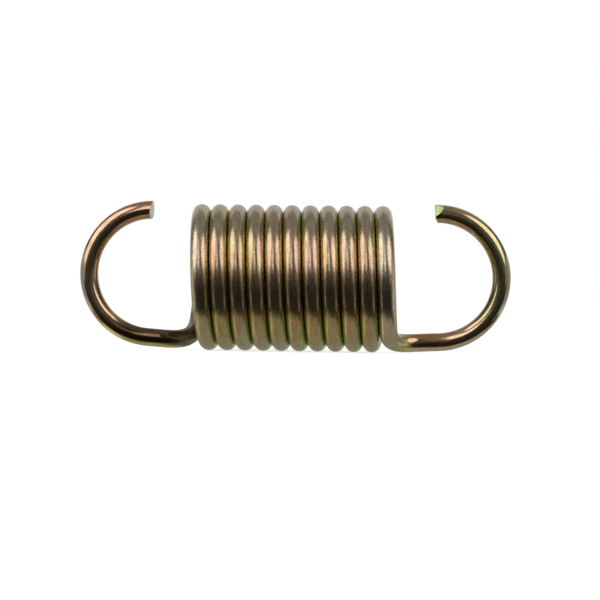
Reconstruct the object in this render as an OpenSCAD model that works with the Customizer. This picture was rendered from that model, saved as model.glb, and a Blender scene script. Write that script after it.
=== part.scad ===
// Extension spring: a single round wire, close wound, with an open hook at each end.
// The coil's axis runs along X. The spring lies on the plane z = 0 with both legs
// underneath and the mouths of both hooks at the top, facing the coil.
// All lengths are in millimetres and all angles in degrees.

/* [Wire] */
// Diameter of the wire
wire_d = 3; // [2:0.1:4]

/* [Coil] */
// Outside diameter of the coil
coil_od = 24.5; // [21:0.5:32]
// Full turns of the coil
coil_turns = 11; // [3:1:13]
// Gap between one turn and the next
turn_gap = 0.04; // [0.02:0.02:1]

/* [Hooks] */
// Inside diameter of both hooks
hook_id = 18.5; // [12:0.1:21]
// From the left end of the coil to the middle of the left hook
left_reach = 6.7; // [5:0.1:14]
// From the right end of the coil to the middle of the right hook
right_reach = 7.75; // [5:0.05:14]
// Height of the left hook's middle above the coil's axis
left_rise = 0.5; // [-0.5:0.05:1.5]
// Height of the right hook's middle above the coil's axis
right_rise = 0.35; // [-0.5:0.05:1.5]
// Angle round the left hook at which its wire ends, 0 at +X and 90 at the top
left_tip = 91; // [60:1:150]
// Angle round the right hook at which its wire ends, 0 at +X and 90 at the top
right_tip = 90; // [30:1:120]

/* [Bends] */
// Length of leg that the left bend takes up
left_bend_leg = 5.5; // [3:0.1:7]
// Angle of coil that the left bend takes up
left_bend_sweep = 50; // [20:5:70]
// Length of leg that the right bend takes up
right_bend_leg = 5.9; // [3:0.1:7]
// Angle of coil that the right bend takes up
right_bend_sweep = 35; // [20:5:70]

/* [Cut ends] */
// Slope of the left end's cut on the front half of the wire
left_cut_front = 8; // [-30:1:60]
// Slope of the left end's cut on the back half of the wire
left_cut_back = -8; // [-30:1:60]
// Slope of the right end's cut on the front half of the wire
right_cut_front = 38; // [-30:1:60]
// Slope of the right end's cut on the back half of the wire
right_cut_back = 20; // [-30:1:60]

/* [Smoothness] */
// Stations of the wire in one full turn
turn_steps = 36; // [16:4:40]
// Stations of the wire in each bend
bend_steps = 7; // [4:1:10]
// Sides of the wire's section
wire_sides = 12; // [8:2:12]

/* [Hidden] */

wire_r = wire_d / 2;
mean_r = (coil_od - wire_d) / 2;
hook_r = (hook_id + wire_d) / 2;
pitch = wire_d + turn_gap;
coil_length = pitch * coil_turns;
step_angle = 360 / turn_steps;

// Bezier handles of a bend, as shares of what it takes up on the leg and the coil
leg_handle = 0.7;
coil_handle = 0.62;
// Largest share of a leg that its bend may take up
bend_limit = 0.85;

// The wire leaves the coil at these two corners, straight below the axis
left_corner = [-coil_length / 2, 0, -mean_r];
right_corner = [coil_length / 2, 0, -mean_r];
left_mid = [left_corner.x - left_reach, 0, left_rise];
right_mid = [right_corner.x + right_reach, 0, right_rise];

// Angle round a hook at which the line from a corner touches its circle.
// side is 1 for the left hook and -1 for the right one.
function touch_angle(mid, corner, side) =
    let (to_corner = corner - mid)
    atan2(to_corner.z, to_corner.x) - side * acos(hook_r / norm(to_corner));

left_touch = touch_angle(left_mid, left_corner, 1) + 360;
right_touch = touch_angle(right_mid, right_corner, -1);

function unit(v) = v / norm(v);

// A station is [point on the centreline, direction of the wire, outward direction]
function hook_station(mid, angle) =
    let (radial = [cos(angle), 0, sin(angle)])
    [mid + hook_r * radial, [-sin(angle), 0, cos(angle)], radial];

// The coil's angle is 0 at its lower left corner and grows towards the back
function coil_station(angle) =
    let (radial = [0, sin(angle), -cos(angle)])
    [
        [pitch * angle / 360 - coil_length / 2, 0, 0] + mean_r * radial,
        unit([pitch / (2 * PI), mean_r * cos(angle), mean_r * sin(angle)]),
        radial
    ];

function bezier_point(p, t) =
    pow(1 - t, 3) * p[0] + 3 * pow(1 - t, 2) * t * p[1]
    + 3 * (1 - t) * t * t * p[2] + t * t * t * p[3];

function bezier_direction(p, t) =
    unit(pow(1 - t, 2) * (p[1] - p[0]) + 2 * (1 - t) * t * (p[2] - p[1]) + t * t * (p[3] - p[2]));

// Stations of a curve that leaves station a and runs smoothly into station b.
// a_handle and b_handle are how far each end pulls the curve along its direction.
function bend_stations(a, b, a_handle, b_handle) =
    let (p = [a[0], a[0] + a_handle * a[1], b[0] - b_handle * b[1], b[0]])
    [
        for (i = [0 : bend_steps])
        let (t = i / bend_steps)
        [bezier_point(p, t), bezier_direction(p, t), (1 - t) * a[2] + t * b[2]]
    ];

// Station on a leg, the given distance from the coil's corner towards the hook
function leg_station(touch, corner, distance) =
    let (to_hook = unit(touch[0] - corner))
    [corner + distance * to_hook, touch[1], touch[2]];

// Length of leg that a bend really takes up, which a short leg limits
function bend_length(touch, corner, wanted) =
    min(wanted, bend_limit * norm(touch[0] - corner));

function hook_stations(mid, start, end) =
    let (steps = ceil(abs(end - start) / step_angle))
    [for (i = [0 : steps]) hook_station(mid, start + (end - start) * i / steps)];

function coil_stations(start, end) =
    let (steps = round((end - start) / step_angle))
    [for (i = [1 : steps - 1]) coil_station(start + (end - start) * i / steps)];

function left_bend() =
    let (
        touch = hook_station(left_mid, left_touch),
        length = bend_length(touch, left_corner, left_bend_leg),
        coil_end = coil_station(left_bend_sweep)
    )
    bend_stations(
        leg_station(touch, left_corner, length), coil_end,
        leg_handle * length, coil_handle * mean_r * sin(left_bend_sweep)
    );

function right_bend() =
    let (
        touch = hook_station(right_mid, right_touch),
        length = bend_length(touch, right_corner, right_bend_leg),
        coil_end = coil_station(360 * coil_turns - right_bend_sweep)
    )
    bend_stations(
        coil_end, leg_station(touch, right_corner, length),
        coil_handle * mean_r * sin(right_bend_sweep), leg_handle * length
    );

// The whole centreline, from the left hook's tip to the right hook's tip
stations = concat(
    hook_stations(left_mid, left_tip, left_touch),
    left_bend(),
    coil_stations(left_bend_sweep, 360 * coil_turns - right_bend_sweep),
    right_bend(),
    hook_stations(right_mid, right_touch, right_tip)
);
last = len(stations) - 1;

// How far a point of the section lies behind the middle of a cut end.
// across is the point's distance to the back of the wire's centre.
function cut_depth(across, front, back) =
    across < 0 ? -across * tan(front) : across * tan(back);

// The section's points at a station. setback moves each one along the wire by its
// distance across the section, which shapes a cut end.
function ring(station, direction = 0, front = 0, back = 0) =
    let (
        along = station[1],
        out = unit(station[2] - (station[2] * along) * along),
        side = cross(along, out)
    )
    [
        for (j = [0 : wire_sides - 1])
        let (
            angle = 360 * j / wire_sides,
            across = wire_r * sin(angle),
            setback = direction * cut_depth(across, front, back)
        )
        station[0] + wire_r * cos(angle) * out + across * side + setback * along
    ];

module spring_wire() {
    rings = [
        for (i = [0 : last])
        i == 0 ? ring(stations[i], 1, left_cut_front, left_cut_back)
        : i == last ? ring(stations[i], -1, right_cut_front, right_cut_back)
        : ring(stations[i])
    ];
    points = concat([for (r = rings) each r], [stations[0][0], stations[last][0]]);
    left_centre = len(points) - 2;
    right_centre = len(points) - 1;

    // Two triangles for each side of each length of wire
    walls = [
        for (i = [0 : last - 1], j = [0 : wire_sides - 1])
        let (
            a = i * wire_sides + j,
            b = i * wire_sides + (j + 1) % wire_sides
        )
        each [[a, a + wire_sides, b + wire_sides], [a, b + wire_sides, b]]
    ];
    left_face = [
        for (j = [0 : wire_sides - 1])
        [left_centre, j, (j + 1) % wire_sides]
    ];
    right_face = [
        for (j = [0 : wire_sides - 1])
        [right_centre, last * wire_sides + (j + 1) % wire_sides, last * wire_sides + j]
    ];

    // The origin is on the ground below the middle of the overall length
    color([0.50, 0.45, 0.30])
    translate([-(left_mid.x + right_mid.x) / 2, 0, coil_od / 2])
    polyhedron(points = points, faces = concat(walls, left_face, right_face));
}

spring_wire();
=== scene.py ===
"""Looks of an extension spring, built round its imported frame. Lengths are in metres."""
import math

import bpy
import numpy as np
from mathutils import Matrix, Vector


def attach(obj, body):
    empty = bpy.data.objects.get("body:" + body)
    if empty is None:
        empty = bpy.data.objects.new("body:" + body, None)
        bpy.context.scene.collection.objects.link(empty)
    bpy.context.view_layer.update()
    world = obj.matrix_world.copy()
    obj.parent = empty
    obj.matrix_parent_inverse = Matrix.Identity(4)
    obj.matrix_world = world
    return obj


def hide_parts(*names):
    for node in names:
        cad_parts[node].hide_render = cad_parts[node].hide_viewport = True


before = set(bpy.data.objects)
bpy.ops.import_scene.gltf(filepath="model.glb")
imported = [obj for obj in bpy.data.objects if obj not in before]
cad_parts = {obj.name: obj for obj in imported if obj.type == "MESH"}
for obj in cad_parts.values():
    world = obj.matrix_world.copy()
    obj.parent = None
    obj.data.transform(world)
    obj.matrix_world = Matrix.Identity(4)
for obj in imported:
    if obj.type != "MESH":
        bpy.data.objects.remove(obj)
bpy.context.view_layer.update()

# Sizes of the spring

MM = 0.001
WIRE_R = 1.523 * MM
COIL_R = 10.75 * MM
HOOK_R = 10.75 * MM
PITCH = 3.04 * MM
TURNS = 11
COIL_LENGTH = PITCH * TURNS
LEFT_REACH = 6.7 * MM
RIGHT_REACH = 7.75 * MM
LEFT_RISE = 0.5 * MM
RIGHT_RISE = 0.35 * MM
LEFT_TIP = math.radians(91)
RIGHT_TIP = math.radians(92.5)
LEFT_BEND_LEG = 5.5 * MM
RIGHT_BEND_LEG = 5.9 * MM
LEFT_BEND_SWEEP = math.radians(50)
RIGHT_BEND_SWEEP = math.radians(35)
LEG_HANDLE = 0.7
COIL_HANDLE = 0.62

# The coil's place in the frame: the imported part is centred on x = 0 and stands on z = 0
COIL_LEFT = (LEFT_REACH - RIGHT_REACH - COIL_LENGTH) / 2
COIL_MIDDLE = COIL_LEFT + COIL_LENGTH / 2
AXIS_Z = COIL_R + WIRE_R

# The left end's face: how it turns to the front and tilts, its hollow and its drawn-out corner
LEFT_TURN = 0.14
LEFT_TILT = 0.12
LEFT_HOLLOW = 0.03
LEFT_CORNER = 0.12

# The right end's nipped flat and the chip under it. Each starts at a share of the radius
FLAT_TURN = math.radians(36)
FLAT_SLOPE = math.radians(62)
FLAT_START = 0.58
CHIP_SLOPE = math.radians(26)
CHIP_START = 0.45

# The rim of a cut face rolls over by this much, from this share of the radius outwards
RIM_DROP = 0.05 * MM
RIM_START = 0.9

# How fine the wire's mesh is
STEP = 0.62 * MM
SIDES = 44
CAP_RINGS = (0.985, 0.95, 0.86, 0.75, 0.62, 0.45, 0.2)
# Rings next to a cut end that share out the length which the cut takes away
END_RINGS = 5


# The wire's centreline

def unit_rows(vectors):
    return vectors / np.linalg.norm(vectors, axis=1)[:, None]


def hook_points(mid, start, end):
    """Points, directions and outward directions round a hook."""
    steps = int(abs(end - start) * HOOK_R / STEP)
    angle = np.linspace(start, end, steps + 1)
    zero = np.zeros_like(angle)
    radial = np.stack([np.cos(angle), zero, np.sin(angle)], axis=1)
    along = np.stack([-np.sin(angle), zero, np.cos(angle)], axis=1)
    return mid + HOOK_R * radial, along, radial


def coil_points(angle):
    """The coil's angle is 0 at its lower left corner and grows towards the back."""
    zero = np.zeros_like(angle)
    radial = np.stack([zero, np.sin(angle), -np.cos(angle)], axis=1)
    points = COIL_R * radial
    points[:, 0] = COIL_LEFT + PITCH * angle / math.tau
    points[:, 2] += AXIS_Z
    along = np.stack(
        [zero + PITCH / math.tau, COIL_R * np.cos(angle), COIL_R * np.sin(angle)], axis=1)
    return points, unit_rows(along), radial


def bend_points(a, b, a_handle, b_handle):
    """A smooth curve from station a to station b, each (point, direction, outward)."""
    p0, p3 = a[0], b[0]
    p1 = p0 + a_handle * a[1]
    p2 = p3 - b_handle * b[1]
    steps = int(2 * np.linalg.norm(p3 - p0) / STEP)
    t = np.linspace(0, 1, steps + 1)[:, None]
    points = (1 - t) ** 3 * p0 + 3 * (1 - t) ** 2 * t * p1 + 3 * (1 - t) * t ** 2 * p2 + t ** 3 * p3
    along = (1 - t) ** 2 * (p1 - p0) + 2 * (1 - t) * t * (p2 - p1) + t ** 2 * (p3 - p2)
    return points, along, (1 - t) * a[2] + t * b[2]


def leg_points(a, b):
    """The straight leg between two stations that share their directions."""
    steps = int(np.linalg.norm(b[0] - a[0]) / STEP)
    t = np.linspace(0, 1, steps + 1)[:, None]
    points = (1 - t) * a[0] + t * b[0]
    return points, np.repeat(a[1][None], steps + 1, 0), np.repeat(a[2][None], steps + 1, 0)


def touch_angle(mid, corner, side):
    """Angle at which the line from the coil's corner touches the hook's circle.

    side is 1 for the left hook and -1 for the right one.
    """
    to_corner = corner - mid
    across = math.acos(HOOK_R / np.linalg.norm(to_corner))
    return math.atan2(to_corner[2], to_corner[0]) - side * across


def station(part, index):
    """The point, the direction and the outward direction at one index of a part."""
    return tuple(rows[index] for rows in part)


def centreline():
    """The whole wire from the left tip to the right tip."""
    left_corner = np.array([COIL_LEFT, 0, AXIS_Z - COIL_R])
    right_corner = left_corner + [COIL_LENGTH, 0, 0]
    left_mid = np.array([COIL_LEFT - LEFT_REACH, 0, AXIS_Z + LEFT_RISE])
    right_mid = np.array([right_corner[0] + RIGHT_REACH, 0, AXIS_Z + RIGHT_RISE])
    left_touch = touch_angle(left_mid, left_corner, 1) + math.tau
    right_touch = touch_angle(right_mid, right_corner, -1)

    left_hook = hook_points(left_mid, LEFT_TIP, left_touch)
    right_hook = hook_points(right_mid, right_touch, RIGHT_TIP)
    start = LEFT_BEND_SWEEP
    end = math.tau * TURNS - RIGHT_BEND_SWEEP
    steps = int((end - start) * COIL_R / STEP)
    coil = coil_points(np.linspace(start, end, steps + 1))

    # A leg runs from the foot of its hook to the place where its bend begins
    left_foot = station(left_hook, -1)
    right_foot = station(right_hook, 0)
    left_leg_end = (left_corner - LEFT_BEND_LEG * left_foot[1], *left_foot[1:])
    right_leg_end = (right_corner + RIGHT_BEND_LEG * right_foot[1], *right_foot[1:])
    left_bend = bend_points(
        left_leg_end, station(coil, 0), LEG_HANDLE * LEFT_BEND_LEG,
        COIL_HANDLE * COIL_R * math.sin(LEFT_BEND_SWEEP))
    right_bend = bend_points(
        station(coil, -1), right_leg_end, COIL_HANDLE * COIL_R * math.sin(RIGHT_BEND_SWEEP),
        LEG_HANDLE * RIGHT_BEND_LEG)

    # Each part starts at the last station of the part before it, which is kept once
    parts = [
        left_hook, leg_points(left_foot, left_leg_end), left_bend, coil,
        right_bend, leg_points(right_leg_end, right_foot), right_hook]
    return [np.concatenate([rows[0]] + [row[1:] for row in rows[1:]]) for rows in zip(*parts)]


def wire_frames():
    """Points of the centreline, with an outward and a sideways direction at each."""
    points, along, outward = centreline()
    along = unit_rows(along)
    out = unit_rows(outward - np.sum(outward * along, axis=1)[:, None] * along)
    return points, out, np.cross(along, out)


# The cut ends: how far a point of the end face lies behind the tip

def left_cut(out, across):
    """A sheared face, turned a little to the front, with its upper corner drawn out."""
    turned = LEFT_TURN * across + LEFT_TILT * out
    hollow = (LEFT_HOLLOW * out ** 2 - LEFT_CORNER * out * across) / WIRE_R
    return -turned - hollow


def right_cut(out, across):
    """Square, with a flat nipped off the upper front and a small chip underneath."""
    facing = out * math.sin(FLAT_TURN) - across * math.cos(FLAT_TURN)
    flat = math.tan(FLAT_SLOPE) * np.maximum(facing - FLAT_START * WIRE_R, 0)
    chip = math.tan(CHIP_SLOPE) * np.maximum(-out - CHIP_START * WIRE_R, 0)
    return np.maximum(flat, chip)


def cut_depth(section, share, cut):
    """How far back a ring of the face lies, with the roll of its rim."""
    roll = RIM_DROP * max(share - RIM_START, 0) / (1 - RIM_START)
    return cut(section[:, 0], section[:, 1]) + roll


def place(frames, index, section):
    """Points of the section at station numbers that may lie between two stations."""
    base = np.clip(np.floor(index).astype(int), 0, len(frames[0]) - 2)
    share = (index - base)[:, None]
    point, out, side = ((1 - share) * part[base] + share * part[base + 1] for part in frames)
    return point + section[:, :1] * out + section[:, 1:] * side


def inward_step(points, end):
    """Which way station numbers run from an end into the wire, and the first spacing."""
    inward = 1 if end == 0 else -1
    return inward, np.linalg.norm(points[end] - points[end + inward])


def end_ring(frames, end, section, share, cut):
    """One ring of an end face. end is the station of the tip, the first or the last."""
    inward, spacing = inward_step(frames[0], end)
    shrunk = share * section
    depth = cut_depth(shrunk, share, cut)
    return place(frames, end + inward * depth / spacing, shrunk)


def draw_in(rings, frames, end, section, cut):
    """Moves the last rings back with the cut, so that the wall never passes it."""
    inward, spacing = inward_step(frames[0], end)
    depth = cut_depth(section, 1.0, cut)
    for k in range(END_RINGS):
        i = end + inward * k
        share = 1 - k / END_RINGS
        rings[i] = place(frames, i + inward * share * depth / spacing, section)


# The wire's mesh

NEIGHBOURS = [(j, (j + 1) % SIDES) for j in range(SIDES)]


def ring_quads(a, b):
    """Faces between two rings, given the number of each one's first vertex."""
    return [(a + j, a + k, b + k, b + j) for j, k in NEIGHBOURS]


def cap_points(frames, end, section, cut):
    """Points of an end face from its rim to its middle, and their places in the section."""
    points = [end_ring(frames, end, section, share, cut) for share in CAP_RINGS]
    points.append(end_ring(frames, end, section[:1], 0.0, cut))
    places = [share * section for share in CAP_RINGS] + [0.0 * section[:1]]
    return np.concatenate(points), np.concatenate(places)


def cap_faces(rim, first):
    """Faces of an end face. rim and first number the first vertex of the rim and the cap."""
    faces = []
    outer = rim
    for _ in CAP_RINGS:
        faces += ring_quads(outer, first)
        outer = first
        first += SIDES
    return faces + [(outer + j, outer + k, first) for j, k in NEIGHBOURS]


def build_wire():
    """Sweeps the round section along the centreline and closes both ends."""
    frames = wire_frames()
    points, out, side = frames
    last = len(points) - 1
    angle = np.arange(SIDES) * math.tau / SIDES
    section = np.stack([np.cos(angle), np.sin(angle)], axis=1) * WIRE_R
    rings = (
        points[:, None] + section[None, :, :1] * out[:, None]
        + section[None, :, 1:] * side[:, None])
    draw_in(rings, frames, 0, section, left_cut)
    draw_in(rings, frames, last, section, right_cut)

    # Wire space is the place in the section and the length along the wire
    length = np.concatenate([[0], np.cumsum(np.linalg.norm(np.diff(points, axis=0), axis=1))])
    verts = [rings.reshape(-1, 3)]
    places = [np.tile(section, (len(points), 1))]
    lengths = [np.repeat(length, SIDES)]
    faces = []
    for i in range(last):
        faces += ring_quads(i * SIDES, (i + 1) * SIDES)
    wall_count = len(faces)

    first = len(points) * SIDES
    for end, cut in ((0, left_cut), (last, right_cut)):
        end_verts, end_places = cap_points(frames, end, section, cut)
        end_faces = cap_faces(end * SIDES, first)
        faces += [face[::-1] for face in end_faces] if end == 0 else end_faces
        verts.append(end_verts)
        places.append(end_places)
        lengths.append(np.full(len(end_verts), length[end]))
        first += len(end_verts)

    mesh = bpy.data.meshes.new("wire")
    mesh.from_pydata(np.concatenate(verts).tolist(), [], faces)
    space = np.column_stack([np.concatenate(places), np.concatenate(lengths)]) / MM
    attribute = mesh.attributes.new("wire_space", "FLOAT_VECTOR", "POINT")
    attribute.data.foreach_set("vector", space.astype(np.float32).ravel())
    for index, polygon in enumerate(mesh.polygons):
        polygon.use_smooth = index < wall_count
        polygon.material_index = 0 if index < wall_count else 1

    # The wall stays smooth up to each rim and the faces stay flat
    for edge in mesh.edges:
        stations = {vertex // SIDES for vertex in edge.vertices}
        edge.use_edge_sharp = stations in ({0}, {last})
    mesh.update()
    wire = bpy.data.objects.new("wire", mesh)
    bpy.context.scene.collection.objects.link(wire)
    return wire


# Materials

# The Mix node uses its sockets' names more than once, so they go by number
MIX_FACTOR = 0
MIX_A = 6
MIX_B = 7
MIX_RESULT = 2


class Graph:
    """A short way to add and join the nodes of a material or a world."""

    def __init__(self, owner, shader="Principled BSDF"):
        owner.use_nodes = True
        self.owner = owner
        self.tree = owner.node_tree
        self.shader = self.tree.nodes[shader]

    def put(self, socket, value):
        """Joins an output to a socket, or sets the socket to a number or a colour."""
        if isinstance(value, bpy.types.NodeSocket):
            self.tree.links.new(value, socket)
        elif socket.type == "RGBA":
            socket.default_value = (*value, 1.0)
        else:
            socket.default_value = value

    def node(self, kind, inputs=None, **settings):
        made = self.tree.nodes.new(kind)
        for key, value in settings.items():
            setattr(made, key, value)
        for key, value in (inputs or {}).items():
            self.put(made.inputs[key], value)
        return made

    def shade(self, inputs):
        """Sets or joins inputs of the shader itself."""
        for key, value in inputs.items():
            self.put(self.shader.inputs[key], value)

    def scaled(self, vector, scale):
        return self.node("ShaderNodeMapping", {"Vector": vector, "Scale": scale}).outputs["Vector"]

    def wire_space(self, across=1.0, along=1.0):
        """Wire space, in millimetres, scaled across and along the wire."""
        source = self.node("ShaderNodeAttribute", attribute_name="wire_space")
        return self.scaled(source.outputs["Vector"], (across, across, along))

    def part_space(self, x=1.0, y=1.0, z=1.0):
        """The part's own space, in millimetres, scaled on each axis."""
        source = self.node("ShaderNodeTexCoord")
        return self.scaled(source.outputs["Object"], (x / MM, y / MM, z / MM))

    def split(self, vector):
        return tuple(self.node("ShaderNodeSeparateXYZ", {"Vector": vector}).outputs)

    def noise(self, space, detail=2.0, rough=0.5):
        made = self.node(
            "ShaderNodeTexNoise",
            {"Vector": space, "Scale": 1.0, "Detail": detail, "Roughness": rough})
        return made.outputs["Fac"]

    def ramp(self, value, stops):
        made = self.node("ShaderNodeValToRGB", {"Fac": value})
        elements = made.color_ramp.elements
        while len(elements) < len(stops):
            elements.new(0.5)
        for element, (position, colour) in zip(elements, stops):
            element.position = position
            element.color = (*colour, 1.0)
        return made.outputs["Color"]

    def span(self, value, change=(0.0, 1.0), before=0.0, after=1.0):
        """Runs from before to after while the value passes from one end of change to the other."""
        made = self.node("ShaderNodeMapRange", {
            "Value": value, "From Min": change[0], "From Max": change[1],
            "To Min": before, "To Max": after})
        return made.outputs["Result"]

    def mix(self, factor, a, b):
        """a where the factor is 0 and b where it is 1, each an output or a colour."""
        made = self.node("ShaderNodeMix", data_type="RGBA")
        self.put(made.inputs[MIX_FACTOR], factor)
        self.put(made.inputs[MIX_A], a)
        self.put(made.inputs[MIX_B], b)
        return made.outputs[MIX_RESULT]

    def math(self, operation, a, b=0.0):
        made = self.node("ShaderNodeMath", operation=operation)
        self.put(made.inputs[0], a)
        self.put(made.inputs[1], b)
        return made.outputs[0]

    def absolute(self, value):
        return self.math("ABSOLUTE", value)

    def times(self, first, *others):
        product = first
        for value in others:
            product = self.math("MULTIPLY", product, value)
        return product

    def bump(self, height, strength, distance, normal=None):
        made = self.node(
            "ShaderNodeBump", {"Height": height, "Strength": strength, "Distance": distance})
        if normal is not None:
            self.put(made.inputs["Normal"], normal)
        return made.outputs["Normal"]


# Tints that lie beside one another in the film
GOLD = (0.74, 0.55, 0.32)
ROSE = (0.80, 0.52, 0.42)
PINK = (0.84, 0.55, 0.50)
STRAW = (0.78, 0.65, 0.40)
LIME = (0.68, 0.66, 0.34)
COPPER = (0.72, 0.40, 0.18)
RUST = (0.65, 0.31, 0.12)
OLIVE = (0.58, 0.55, 0.25)
GREEN = (0.44, 0.54, 0.18)

# Tints of single places, some of them painted reflections
# Grey-green film, partly a painted reflection of the surroundings at the coil's foot and top
MOSS_AND_REFLECTION = (0.58, 0.63, 0.46)
BRASS = (0.59, 0.62, 0.27)
ACID = (0.64, 0.62, 0.16)
TEAL = (0.46, 0.66, 0.34)
AMBER = (0.86, 0.62, 0.26)
MAGENTA = (0.86, 0.46, 0.50)
CORAL = (0.84, 0.46, 0.32)
CREAM = (0.76, 0.73, 0.55)
# Darkened as painted shade half way up the left hook
PEACH_AND_SHADE = (0.68, 0.54, 0.38)
# Painted reflections of the table on the hooks' underside, tinted by the film
LEMON_REFLECTION = (0.97, 0.94, 0.40)
PEARL_REFLECTION = (0.90, 0.84, 0.68)
BRONZE = (0.72, 0.62, 0.30)

# Dull and dark tints, several of them painted shade
# A duller film, darkened as painted shade half way up the right hook
DRAB_AND_SHADE = (0.42, 0.40, 0.25)
# Painted shade for the hooks' outer edge half way up
EDGE_PAINTED_SHADE = (0.32, 0.33, 0.23)
# A redder film, darkened as painted shade below the coil's highlight
MAROON_AND_SHADE = (0.45, 0.22, 0.12)
UMBER = (0.26, 0.16, 0.08)
# Painted shade on the left elbow and on the wire that rises behind it
ELBOW_PAINTED_SHADE = (0.22, 0.20, 0.14)
# Painted shade on the left leg, and a darker painted shadow for the bar along its front
LEG_PAINTED_SHADE = (0.11, 0.06, 0.03)
BAR_PAINTED_SHADE = (0.05, 0.014, 0.004)

# Bare steel, and the green film on it
PALE_STEEL = (0.88, 0.90, 0.84)
FERN = (0.62, 0.78, 0.28)
APPLE = (0.74, 0.92, 0.38)
PISTACHIO = (0.86, 0.96, 0.56)

# Most values of a noise lie in the first range, and streaks and grooves form in the others
NOISE_RANGE = (0.3, 0.7)
RED_STREAKS = (0.40, 0.60)
MOSS_STREAKS = (0.42, 0.58)
GROOVES = (0.34, 0.54)

# How deep the marks in the metal look
GROOVE_DEPTH = 0.05 * MM
PIT_DEPTH = 0.04 * MM
TEAR_DEPTH = 0.06 * MM

# Where the looks change, in millimetres: each pair is where a change starts and where it ends.
# First on the coil, by height above the ground
MOTTLE_HEIGHT = (10.0, 7.0)
TEAL_HEIGHT = (6.5, 4.0)
FRINGE_FOOT = (7.0, 10.0)
FRINGE_TOP = (20.0, 17.0)
RED_FOOT = (8.0, 10.0)
RED_TOP = (18.5, 16.5)
MOSS_FOOT = (3.0, 0.8)
MOSS_TOP = (19.5, 22.0)
SPECKLE_HEIGHT = (6.0, 10.0)
FLANK_GREEN_HEIGHT = (10.0, 7.0)

# Across the coil's wire, from its middle to the left or to the right, or to both sides
LEFT_FLANK = (0.2, 1.1)
RIGHT_FLANK = (-0.2, -0.9)
FRINGE_SIDES = (0.45, 1.0)
FLANK_SIDES = (0.95, 1.4)

# By distance from the coil's middle
END_TURNS = (13.4, 15.2)
END_FLANKS = (16.4, 15.6)
COIL_TO_HOOK = (17.5, 19.5)
ELBOW_START = (16.8, 17.8)
ELBOW_END = (21.5, 19.5)

# Then on the hooks, by height
MIDDLE_FOOT = (6.0, 9.0)
MIDDLE_TOP = (19.0, 15.0)
UPPER_HEIGHT = (15.0, 22.0)
LOWER_HEIGHT = (7.0, 3.0)
GLINT_HEIGHT = (15.0, 18.0)
EDGE_FOOT = (7.0, 9.0)
EDGE_TOP = (16.5, 13.5)
LEG_HEIGHT = (6.0, 4.0)
RIM_HEIGHT = (9.0, 6.0)
ELBOW_HEIGHT = (6.0, 4.0)
RIGHT_ELBOW_HEIGHT = (3.2, 1.4)
ELBOW_SHADE_HEIGHT = (8.5, 6.0)

# Along X
LEFT_TO_RIGHT = (-1.0, 1.0)
FAR_RIGHT = (23.0, 26.0)
LEG_LEFT = (-33.0, -28.0)
LEG_RIGHT = (0.0, -1.0)
BAR_LEFT = (-29.5, -27.5)
RIGHT_ELBOW_X = (21.5, 19.0)
ELBOW_SHADE_LEFT = (-23.5, -20.5)
ELBOW_SHADE_RIGHT = (-15.8, -16.6)
UNDERSIDE_LEFT = (-18.0, -19.5)

# Across the hooks' wire, where its outer side is positive
GLINT_SIDE = (-0.7, -1.1)
EDGE_SIDE = (0.6, 1.1)
BAR_INSIDE = (-1.0, -0.7)
BAR_OUTSIDE = (0.2, -0.1)
RIM_SIDE = (0.7, 1.1)
UNDERSIDE = (0.5, 1.0)


def coil_tint(g, height, across, from_middle):
    """The film on the coil: rose to lime round the middle, mottled low down, grey-green above;
    painted shade and reflections in places.
    """
    drift = g.ramp(
        g.noise(g.part_space(x=0.55, y=0.12, z=0.09)),
        [(0.34, LIME), (0.41, STRAW), (0.46, GOLD), (0.51, ROSE), (0.57, PINK)])
    mottle = g.ramp(
        g.noise(g.wire_space(across=2.0, along=0.5), detail=3.0, rough=0.65),
        [(0.42, GREEN), (0.47, OLIVE), (0.50, COPPER), (0.54, RUST), (0.59, ROSE)])
    wander = g.noise(g.part_space(x=0.4, y=0.2, z=0.2))
    level = g.math("ADD", height, g.span(wander, NOISE_RANGE, before=-1.5, after=1.5))
    low = g.span(level, MOTTLE_HEIGHT, before=0.15, after=0.95)
    colour = g.mix(low, drift, mottle)

    # Low down one flank turns yellow-green, and the other copper and then grey-green
    left = g.times(low, g.span(across, LEFT_FLANK, after=0.7))
    colour = g.mix(left, colour, ACID)
    right = g.times(low, g.span(across, RIGHT_FLANK, after=0.8))
    colour = g.mix(right, colour, g.mix(g.span(level, TEAL_HEIGHT), COPPER, TEAL))

    # Round the middle a rosy or amber fringe runs along both sides of the crest
    fringe = g.ramp(
        g.noise(g.part_space(x=0.45, y=0.1, z=0.07), detail=1.0),
        [(0.40, AMBER), (0.48, CORAL), (0.56, MAGENTA)])
    beside = g.times(
        g.span(g.absolute(across), FRINGE_SIDES, after=0.6),
        g.span(level, FRINGE_FOOT), g.span(level, FRINGE_TOP))
    colour = g.mix(beside, colour, fringe)

    # Below the highlight the film is redder, in streaks, and darker there as painted shade
    red_streaks = g.noise(g.wire_space(across=1.5, along=0.15), detail=1.0)
    redder_and_shaded = g.times(
        g.span(red_streaks, RED_STREAKS, before=0.10, after=0.75),
        g.span(level, RED_FOOT), g.span(level, RED_TOP))
    colour = g.mix(redder_and_shaded, colour, MAROON_AND_SHADE)

    # The first and the last turn are paler; grey-green at the foot and in streaks on top is film
    # and painted reflection
    colour = g.mix(g.span(from_middle, END_TURNS, after=0.65), colour, CREAM)
    colour = g.mix(g.span(level, MOSS_FOOT, after=0.8), colour, MOSS_AND_REFLECTION)
    moss_streaks = g.noise(g.wire_space(across=1.3, along=0.12), detail=1.0)
    top = g.times(
        g.span(level, MOSS_TOP), g.span(moss_streaks, MOSS_STREAKS, before=0.25, after=0.85))
    return g.mix(top, colour, MOSS_AND_REFLECTION)


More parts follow.
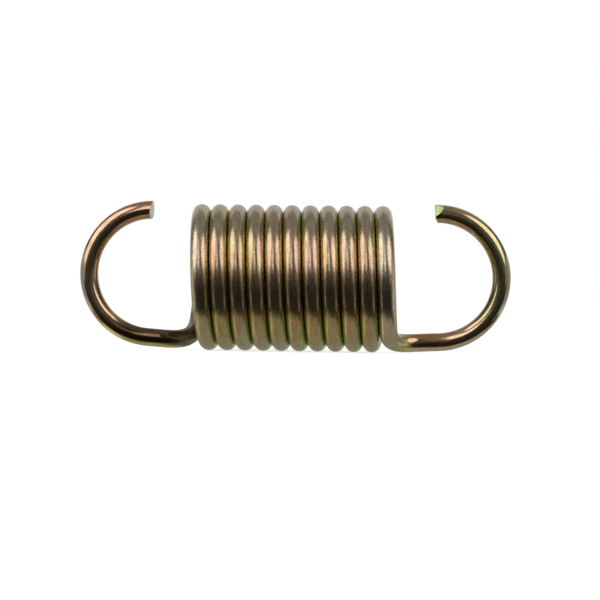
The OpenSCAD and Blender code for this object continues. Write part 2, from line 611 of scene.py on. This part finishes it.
def hook_tint(g, x, height, outward):
    """The hooks' film, redder on the left, duller and greener on the right; painted shade and
    reflections in places.
    """
    tint = g.ramp(
        g.noise(g.part_space(x=0.16, y=0.2, z=0.16)),
        [(0.36, LIME), (0.43, STRAW), (0.50, GOLD), (0.57, COPPER), (0.64, ROSE)])
    right = g.span(x, LEFT_TO_RIGHT)
    # Half way up both hooks are darker: a duller film, and painted shade
    middle_and_shade = g.times(g.span(height, MIDDLE_FOOT, after=0.6), g.span(height, MIDDLE_TOP))
    tint = g.mix(middle_and_shade, tint, g.mix(right, PEACH_AND_SHADE, DRAB_AND_SHADE))
    tint = g.mix(g.span(height, UPPER_HEIGHT, after=0.65), tint, g.mix(right, CORAL, BRONZE))
    lower = g.mix(g.span(x, FAR_RIGHT), RUST, CORAL)
    tint = g.mix(g.span(height, LOWER_HEIGHT, after=0.6), tint, lower)

    # Inside the right hook, near its tip, green and rose alternate
    inside = g.times(g.span(outward, GLINT_SIDE, after=0.8), g.span(height, GLINT_HEIGHT), right)
    glints = g.ramp(
        g.noise(g.part_space(x=0.35, y=0.3, z=0.35), detail=1.0), [(0.44, GREEN), (0.56, ROSE)])
    tint = g.mix(inside, tint, glints)

    # Painted shade darkens the outer edge half way up, over the backdrop's reflection
    edge = g.times(
        g.span(outward, EDGE_SIDE, after=0.75), g.span(height, EDGE_FOOT),
        g.span(height, EDGE_TOP))
    tint = g.mix(edge, tint, EDGE_PAINTED_SHADE)

    # Painted shade darkens the left leg, and a still darker painted shadow lies in a bar along its
    # front
    leg_shade = g.times(
        g.span(x, LEG_LEFT), g.span(x, LEG_RIGHT), g.span(height, LEG_HEIGHT, after=0.85))
    tint = g.mix(leg_shade, tint, LEG_PAINTED_SHADE)
    bar_shade = g.times(
        leg_shade, g.span(x, BAR_LEFT), g.span(outward, BAR_INSIDE), g.span(outward, BAR_OUTSIDE))
    tint = g.mix(bar_shade, tint, BAR_PAINTED_SHADE)

    # The rim underneath carries a painted reflection of the table, tinted by the film: lemon on the
    # left, pale on the right
    rim = g.times(g.span(outward, RIM_SIDE), g.span(height, RIM_HEIGHT, after=0.9))
    tint = g.mix(rim, tint, g.mix(right, LEMON_REFLECTION, PEARL_REFLECTION))

    # The elbow of the right leg is yellow-green underneath: a painted reflection of the table
    elbow = g.times(
        right, g.span(x, RIGHT_ELBOW_X), g.span(height, RIGHT_ELBOW_HEIGHT, after=0.9))
    return g.mix(elbow, tint, LEMON_REFLECTION)


def chromate():
    """Drawn steel wire under a yellow chromate film, whose tint drifts and speckles."""
    g = Graph(bpy.data.materials.new("yellow_chromate"))
    x, _, height = g.split(g.part_space())
    outward, across, _ = g.split(g.wire_space())
    from_middle = g.absolute(g.math("SUBTRACT", x, COIL_MIDDLE / MM))
    on_hook = g.span(from_middle, COIL_TO_HOOK)

    def amount(coil, hook):
        return g.span(on_hook, before=coil, after=hook)

    on_coil = amount(coil=1.0, hook=0.0)
    colour = g.mix(
        on_hook, coil_tint(g, height, across, from_middle), hook_tint(g, x, height, outward))
    speckle = g.ramp(
        g.noise(g.wire_space(across=3.0, along=1.5), detail=3.0, rough=0.6),
        [(0.36, LIME), (0.46, GOLD), (0.54, STRAW), (0.64, ROSE)])
    speckled = g.times(amount(coil=0.30, hook=0.12), g.span(height, SPECKLE_HEIGHT, before=0.6))
    colour = g.mix(speckled, colour, speckle)

    # The flanks that face the next turn are brassy, and green low down
    flank = g.times(
        g.span(g.absolute(across), FLANK_SIDES, after=0.6), on_coil,
        g.span(from_middle, END_FLANKS, before=0.35))
    colour = g.mix(flank, colour, g.mix(g.span(height, FLANK_GREEN_HEIGHT), BRASS, GREEN))

    # Painted shade darkens the left elbow and the wire that rises behind it, but not the underside
    underside = g.times(g.span(outward, UNDERSIDE), g.span(x, UNDERSIDE_LEFT))
    elbow_shade_mask = g.times(
        g.span(height, ELBOW_SHADE_HEIGHT, after=0.8), g.span(x, ELBOW_SHADE_RIGHT), g.span(x, ELBOW_SHADE_LEFT),
        g.span(underside, before=1.0, after=0.0))
    colour = g.mix(elbow_shade_mask, colour, ELBOW_PAINTED_SHADE)

    # Fine grooves left by the drawing die
    grooves = g.noise(g.wire_space(across=5.0, along=0.8), detail=3.0, rough=0.65)
    colour = g.mix(g.span(grooves, GROOVES, before=0.5, after=0.0), colour, UMBER)

    # The hooks are smoother than the coil, and both elbows are duller underneath
    pits = g.noise(g.wire_space(across=4.5, along=3.2), detail=3.0, rough=0.6)
    roughness = g.span(
        pits, NOISE_RANGE, before=amount(coil=0.17, hook=0.11), after=amount(coil=0.30, hook=0.16))
    elbow = g.times(
        g.span(from_middle, ELBOW_START), g.span(from_middle, ELBOW_END),
        g.span(height, ELBOW_HEIGHT, after=0.16))
    normal = g.bump(grooves, amount(coil=0.35, hook=0.14), GROOVE_DEPTH)
    normal = g.bump(pits, amount(coil=0.20, hook=0.07), PIT_DEPTH, normal)
    g.shade({
        "Base Color": colour, "Metallic": 1.0, "Roughness": g.math("ADD", roughness, elbow),
        "Normal": normal})
    return g.owner


def cut_face():
    """The cut ends: coarser, a pale grey on the left and under a green film on the right."""
    g = Graph(bpy.data.materials.new("cut_end"))
    film = g.ramp(
        g.noise(g.wire_space(across=1.6, along=1.6), detail=3.0),
        [(0.30, FERN), (0.50, APPLE), (0.70, PISTACHIO)])
    x = g.split(g.part_space())[0]
    tears = g.noise(g.wire_space(across=3.0, along=3.0), detail=4.0, rough=0.6)
    g.shade({
        "Base Color": g.mix(g.span(x, LEFT_TO_RIGHT), PALE_STEEL, film), "Metallic": 1.0,
        "Roughness": 0.42, "Normal": g.bump(tears, strength=0.3, distance=TEAR_DEPTH)})
    return g.owner


def dress_wire():
    """The scene's one piece, which stands for the solid wire."""
    wire = build_wire()
    wire.data.materials.append(chromate())
    wire.data.materials.append(cut_face())
    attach(wire, "root")
    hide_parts("spring_wire")


# The studio. Distances and directions are taken from the spring's middle. Angles are in degrees

CENTRE = Vector((0, 0, AXIS_Z))
UP = Vector((0, 0, 1))
WHITE = (1.0, 1.0, 1.0)
SAND = (1.0, 0.94, 0.78)
SHADE = (0.90, 0.94, 0.76)
DISC_SIDES = 48
SOFTBOX_DISTANCE = 0.45
CARD_DISTANCE = 0.5
BACKDROP_DISTANCE = 0.6

# The tent is a box with this half width. Each wall has an azimuth, a radiance and another
# radiance for its foot
TENT = 0.8
TENT_CEILING = 1.0
TENT_CORNER = 45
WALL_TOP = 51.4
FOOT_TOP = 4
FOOT_BOTTOM = -15
TENT_WALLS = {
    "front": (0, 0.11, 0.045),
    "left": (-90, 0.13, 0.045),
    "back": (180, 0.52, 0.60),
    "right": (90, 0.13, 0.045)}

# The table lies well below the spring, and the ground below the table
TABLE_DROP = 0.5
TABLE_LIFT = 0.01
TABLE_X = -0.06
TABLE_HALF = 0.62
TABLE_FRONT = 0.27
TABLE_BACK = 2.4
GROUND_DROP = 0.52
GROUND_HALF = 2.5

# The floor's half width, grey and glow, and the world's strength as a light
FLOOR_HALF = 2.0
FLOOR_GREY = (0.8, 0.8, 0.8)
FLOOR_GLOW = 0.72
ROOM_LIGHT = 0.45


def sheet(name, corners):
    """A flat piece of the studio."""
    mesh = bpy.data.meshes.new(name)
    mesh.from_pydata([tuple(corner) for corner in corners], [], [tuple(range(len(corners)))])
    made = bpy.data.objects.new(name, mesh)
    bpy.context.scene.collection.objects.link(made)
    return made


def square(half, z):
    """Corners of a level square centred on the spring."""
    return [(-half, -half, z), (half, -half, z), (half, half, z), (-half, half, z)]


def glow(name, radiance, tint):
    """A plain emitting material of one radiance."""
    material = bpy.data.materials.new(name)
    material.use_nodes = True
    tree = material.node_tree
    tree.nodes.clear()
    emission = tree.nodes.new("ShaderNodeEmission")
    emission.inputs["Color"].default_value = (*tint, 1.0)
    emission.inputs["Strength"].default_value = radiance
    output = tree.nodes.new("ShaderNodeOutputMaterial")
    tree.links.new(emission.outputs[0], output.inputs["Surface"])
    return material


def card(name, corners, radiance, tint=WHITE):
    """A softbox or a grey card. The camera doesn't see it, but the metal does."""
    made = sheet(name, corners)
    made.data.materials.append(glow(name, radiance, tint))
    made.visible_camera = False
    made.visible_shadow = False
    return made


def reflection_card(name, corners, radiance, tint=WHITE):
    """A card that only reflections show, so that it leaves the floor's light alone."""
    made = card(name, corners, radiance, tint)
    made.visible_diffuse = False


def bearing(azimuth, elevation):
    """Direction from the spring's middle. Azimuth 0 is the front and 90 is +X."""
    turn = math.radians(azimuth)
    lift = math.radians(elevation)
    return Vector((
        math.sin(turn) * math.cos(lift), -math.cos(turn) * math.cos(lift), math.sin(lift)))


def round_softbox(name, azimuth, elevation, half_angle, radiance):
    """A round softbox that faces the spring."""
    facing = bearing(azimuth, elevation)
    across = UP.cross(facing).normalized()
    upward = facing.cross(across)
    radius = SOFTBOX_DISTANCE * math.tan(math.radians(half_angle))
    corners = []
    for i in range(DISC_SIDES):
        turn = math.tau * i / DISC_SIDES
        spoke = math.cos(turn) * across + math.sin(turn) * upward
        corners.append(CENTRE + SOFTBOX_DISTANCE * facing + radius * spoke)
    card(name, corners, radiance)


def wall_card(name, azimuth, half_width, low, high, radiance, tint=WHITE, distance=CARD_DISTANCE):
    """An upright card square to one azimuth, between two elevations."""
    forward = bearing(azimuth, 0)
    right = UP.cross(forward)
    reach = distance * math.tan(math.radians(half_width))
    corners = []
    for side, elevation in ((-1, low), (1, low), (1, high), (-1, high)):
        rise = distance * math.tan(math.radians(elevation))
        corners.append(CENTRE + distance * forward + side * reach * right + rise * UP)
    reflection_card(name, corners, radiance, tint)


def table_card(radiance):
    """The pale table below the spring: round at the front and straight at the back."""
    corners = []
    for i in range(DISC_SIDES // 2 + 1):
        turn = math.tau * i / DISC_SIDES
        corners.append((
            TABLE_X - TABLE_HALF * math.cos(turn), -TABLE_FRONT * math.sin(turn), -TABLE_DROP))
    corners.append((TABLE_BACK, TABLE_BACK, -TABLE_DROP))
    corners.append((-TABLE_BACK, TABLE_BACK, -TABLE_DROP))
    reflection_card("table", corners, radiance, SAND)


def patch_card(name, left, right, near, far, radiance):
    """A lighter patch on the table."""
    z = -TABLE_DROP + TABLE_LIFT
    corners = [(left, near, z), (right, near, z), (right, far, z), (left, far, z)]
    reflection_card(name, corners, radiance, SAND)


def build_studio():
    round_softbox("softbox_left", azimuth=-63, elevation=33, half_angle=27.5, radiance=1.45)
    round_softbox("softbox_right", azimuth=58.5, elevation=33.5, half_angle=23, radiance=1.42)
    wall_card("fill_front", azimuth=-9, half_width=7.5, low=14, high=46, radiance=1.7)
    wall_card("fill_high", azimuth=-14, half_width=8, low=46, high=60, radiance=0.8)
    wall_card("spill_left", azimuth=-64, half_width=14, low=-3, high=8, radiance=0.4)
    wall_card("spill_right", azimuth=62, half_width=12, low=-3, high=8, radiance=0.32)
    wall_card("spill_left_low", azimuth=-76, half_width=8, low=-34, high=-3, radiance=0.26)
    wall_card("spill_right_low", azimuth=74, half_width=7, low=-34, high=-3, radiance=0.2)
    for name, azimuth in (("left", -163), ("right", 163)):
        wall_card("softbox_back_" + name, azimuth, half_width=8, low=3, high=16, radiance=1.0)

    # The bright backdrop on both sides, which only the outermost flanks show
    for name, azimuth in (("left", -107), ("right", 107)):
        wall_card(
            "backdrop_" + name, azimuth, half_width=27, low=-28, high=16, radiance=0.5,
            distance=BACKDROP_DISTANCE)

    # The tent's walls and its ceiling
    for name, (azimuth, wall, foot) in TENT_WALLS.items():
        wall_card("tent_" + name, azimuth, TENT_CORNER, FOOT_TOP, WALL_TOP, wall, distance=TENT)
        wall_card(
            "tent_foot_" + name, azimuth, TENT_CORNER, FOOT_BOTTOM, FOOT_TOP, foot,
            tint=SHADE, distance=TENT)
    reflection_card("tent_top", square(TENT, TENT_CEILING), radiance=0.24)

    # What the metal sees below it
    table_card(radiance=0.31)
    patch_card("table_bright", left=-0.60, right=-0.34, near=-0.05, far=0.45, radiance=0.60)
    reflection_card("ground", square(GROUND_HALF, -GROUND_DROP), radiance=0.023, tint=SHADE)


def background_rays(g):
    """1 for camera, glossy and transmission rays, 0 for the others."""
    path = g.node("ShaderNodeLightPath")
    rays = path.outputs["Is Camera Ray"]
    for name in ("Is Glossy Ray", "Is Transmission Ray"):
        rays = g.math("MAXIMUM", rays, path.outputs[name])
    return rays


def build_world():
    """White to the camera and in reflections, and dimmer as a light."""
    world = bpy.data.worlds.new("studio")
    bpy.context.scene.world = world
    g = Graph(world, "Background")
    g.shade({"Color": WHITE, "Strength": g.span(background_rays(g), before=ROOM_LIGHT)})


def build_floor():
    """A white floor that keeps a faint shadow of the spring."""
    floor = sheet("floor", square(FLOOR_HALF, 0))
    floor.visible_glossy = False
    g = Graph(bpy.data.materials.new("floor_white"))
    g.shade({
        "Base Color": FLOOR_GREY, "Roughness": 1.0, "Specular IOR Level": 0.0,
        "Emission Color": WHITE, "Emission Strength": g.times(background_rays(g), FLOOR_GLOW)})
    floor.data.materials.append(g.owner)


# The camera stands level with the coil's axis, a little to the right

CAMERA_AZIMUTH = math.radians(2.55)
CAMERA_ROLL = math.radians(0.77)
CLIP_START = 0.01
IMAGE_WIDTH = 600
MM_PER_PIXEL = 0.1681
DISTANCE_PIXELS = 2000
COIL_MIDDLE_PIXEL = (291.35, 278.2)
SENSOR_WIDTH = 36.0


def build_camera():
    metres_per_pixel = MM_PER_PIXEL * MM
    distance = DISTANCE_PIXELS * metres_per_pixel
    forward = Vector((-math.sin(CAMERA_AZIMUTH), math.cos(CAMERA_AZIMUTH), 0))
    level = Vector((math.cos(CAMERA_AZIMUTH), math.sin(CAMERA_AZIMUTH), 0))
    right = math.cos(CAMERA_ROLL) * level + math.sin(CAMERA_ROLL) * UP
    top = math.cos(CAMERA_ROLL) * UP - math.sin(CAMERA_ROLL) * level
    coil_middle = Vector((COIL_MIDDLE, 0, AXIS_Z))
    across = (COIL_MIDDLE_PIXEL[0] - IMAGE_WIDTH / 2) * metres_per_pixel
    above = (IMAGE_WIDTH / 2 - COIL_MIDDLE_PIXEL[1]) * metres_per_pixel
    position = coil_middle - distance * forward - across * right - above * top
    data = bpy.data.cameras.new("camera")
    data.sensor_width = SENSOR_WIDTH
    data.lens = SENSOR_WIDTH * DISTANCE_PIXELS / IMAGE_WIDTH
    data.clip_start = CLIP_START
    camera = bpy.data.objects.new("camera", data)
    bpy.context.scene.collection.objects.link(camera)
    turned = Matrix((right, top, -forward)).transposed().to_4x4()
    camera.matrix_world = Matrix.Translation(position) @ turned
    bpy.context.scene.camera = camera


build_camera()
dress_wire()
build_studio()
build_world()
build_floor()
bpy.context.scene.view_settings.view_transform = "Standard"
